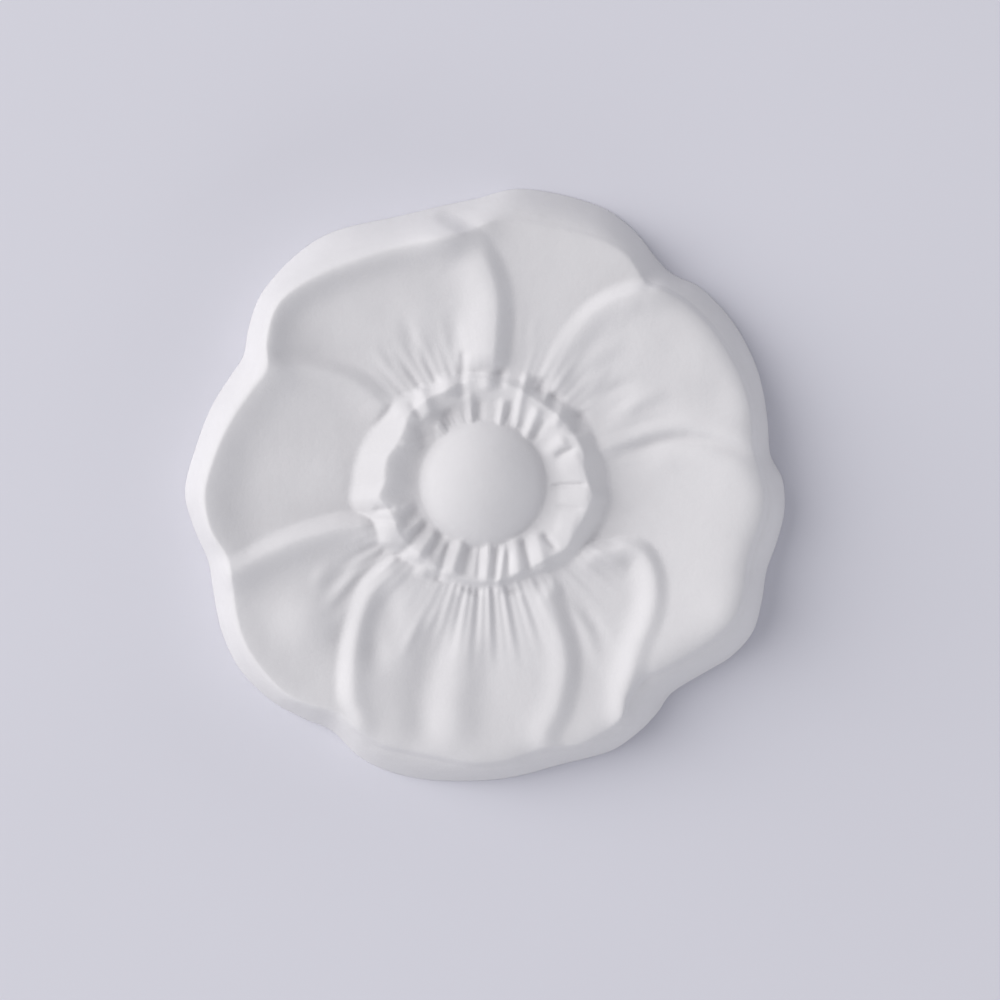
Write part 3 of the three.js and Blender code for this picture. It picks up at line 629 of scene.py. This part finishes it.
def plaster_material():
    """White plaster: faint changes of tone, dull, with a fine grain and low lumps."""
    material = bpy.data.materials.new("plaster")
    material.use_nodes = True
    nodes, links = material.node_tree.nodes, material.node_tree.links
    shader = nodes["Principled BSDF"]
    place = nodes.new("ShaderNodeTexCoord").outputs["Object"]

    def noise(scale, detail, roughness=0.5):
        node = nodes.new("ShaderNodeTexNoise")
        node.inputs["Scale"].default_value = scale
        node.inputs["Detail"].default_value = detail
        node.inputs["Roughness"].default_value = roughness
        links.new(place, node.inputs["Vector"])
        return node.outputs["Fac"]

    def ramp(value, first, last):
        node = nodes.new("ShaderNodeValToRGB")
        start, end = node.color_ramp.elements
        start.position, start.color = RAMP_START, first
        end.position, end.color = RAMP_END, last
        links.new(value, node.inputs["Fac"])
        return node.outputs["Color"]

    def bump(height, strength, depth):
        node = nodes.new("ShaderNodeBump")
        node.inputs["Strength"].default_value = strength
        node.inputs["Distance"].default_value = depth
        links.new(height, node.inputs["Height"])
        return node

    tone = ramp(noise(TONE_SCALE, detail=6, roughness=0.6), PLASTER_DARK, PLASTER_LIGHT)
    links.new(tone, shader.inputs["Base Color"])
    dull = ramp(noise(DULL_SCALE, detail=3), PLASTER_DULL_LOW, PLASTER_DULL_HIGH)
    links.new(dull, shader.inputs["Roughness"])
    shader.inputs["Specular IOR Level"].default_value = PLASTER_SHINE

    grain = bump(noise(GRAIN_SCALE, detail=3, roughness=0.6), GRAIN_STRENGTH, GRAIN_DEPTH)
    lumps = bump(noise(LUMP_SCALE, detail=3), LUMP_STRENGTH, LUMP_DEPTH)
    links.new(grain.outputs["Normal"], lumps.inputs["Normal"])
    links.new(lumps.outputs["Normal"], shader.inputs["Normal"])
    return material


def paper_material():
    """Pale lilac-grey paper."""
    material = bpy.data.materials.new("pale_paper")
    material.use_nodes = True
    nodes, links = material.node_tree.nodes, material.node_tree.links
    shader = nodes["Principled BSDF"]
    texture = nodes.new("ShaderNodeTexNoise")
    texture.inputs["Scale"].default_value = PAPER_SCALE
    texture.inputs["Detail"].default_value = PAPER_DETAIL
    ramp = nodes.new("ShaderNodeValToRGB")
    ramp.color_ramp.elements[0].color = PAPER_DARK
    ramp.color_ramp.elements[1].color = PAPER_LIGHT
    links.new(texture.outputs["Fac"], ramp.inputs["Fac"])
    links.new(ramp.outputs["Color"], shader.inputs["Base Color"])
    shader.inputs["Roughness"].default_value = PAPER_DULLNESS
    shader.inputs["Specular IOR Level"].default_value = PAPER_SHINE
    return material


casting = bpy.data.objects.new("flower_relief", casting_mesh())
bpy.context.scene.collection.objects.link(casting)
casting.data.materials.append(plaster_material())
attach(casting, "root")
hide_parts("flower_casting")

# ---------------------------------------------------------------- floor, light, camera
FLOOR_HALF = 0.9  # half the side of the paper, m
floor_mesh = bpy.data.meshes.new("paper_floor")
floor_mesh.from_pydata(
    [(-FLOOR_HALF, -FLOOR_HALF, 0), (FLOOR_HALF, -FLOOR_HALF, 0),
     (FLOOR_HALF, FLOOR_HALF, 0), (-FLOOR_HALF, FLOOR_HALF, 0)],
    [], [(0, 1, 2, 3)],
)
floor = bpy.data.objects.new("paper_floor", floor_mesh)
bpy.context.scene.collection.objects.link(floor)
floor.data.materials.append(paper_material())


def area_light(name, azimuth, elevation, distance, size, power, colour):
    """A soft light aimed at the flower, size is (width, height). Azimuth is from +X to +Y."""
    a, e = math.radians(azimuth), math.radians(elevation)
    away = Vector((math.cos(a) * math.cos(e), math.sin(a) * math.cos(e), math.sin(e)))
    data = bpy.data.lights.new(name, "AREA")
    data.shape = "RECTANGLE"
    data.size, data.size_y = size
    data.energy = power
    data.color = colour
    light = bpy.data.objects.new(name, data)
    light.location = away * distance
    light.rotation_euler = away.to_track_quat("Z", "Y").to_euler()
    bpy.context.scene.collection.objects.link(light)


LIGHT_DISTANCE = 2.0
WINDOW_AZIMUTH = 166
WINDOW_ELEVATION = 34
WINDOW_POWER = 46
WINDOW_SIZE = (1.6, 2.2)
WINDOW_COLOUR = (1, 0.985, 0.98)
REFLECTOR_SIZE = (2.6, 1.0)
REFLECTOR_COLOUR = (0.96, 0.97, 1)
REFLECTOR_ELEVATION = 14
ROOM_COLOUR = (0.93, 0.93, 1, 1)
ROOM_STRENGTH = 0.38

area_light(
    "window", WINDOW_AZIMUTH, WINDOW_ELEVATION, LIGHT_DISTANCE, WINDOW_SIZE, WINDOW_POWER,
    WINDOW_COLOUR,
)
for reflector, azimuth, power in (("pale_wall", 40, 8), ("pale_screen", 300, 14)):
    area_light(
        reflector, azimuth, REFLECTOR_ELEVATION, LIGHT_DISTANCE, REFLECTOR_SIZE, power,
        REFLECTOR_COLOUR,
    )

world = bpy.data.worlds.new("room")
world.use_nodes = True
world.node_tree.nodes["Background"].inputs["Color"].default_value = ROOM_COLOUR
world.node_tree.nodes["Background"].inputs["Strength"].default_value = ROOM_STRENGTH
bpy.context.scene.world = world

# The camera looks straight down, metres.
CAMERA_HEIGHT = 0.9
VIEW_WIDTH = 0.1329  # width of the picture at the height of the paper
VIEW_MIDDLE = (0.002, -0.002)
SENSOR = 36.0  # millimetres
camera_data = bpy.data.cameras.new("photo_camera")
camera_data.sensor_width = SENSOR
camera_data.lens = SENSOR * CAMERA_HEIGHT / VIEW_WIDTH
camera = bpy.data.objects.new("photo_camera", camera_data)
camera.location = (VIEW_MIDDLE[0], VIEW_MIDDLE[1], CAMERA_HEIGHT)
bpy.context.scene.collection.objects.link(camera)
bpy.context.scene.camera = camera
bpy.context.scene.view_settings.view_transform = "Standard"
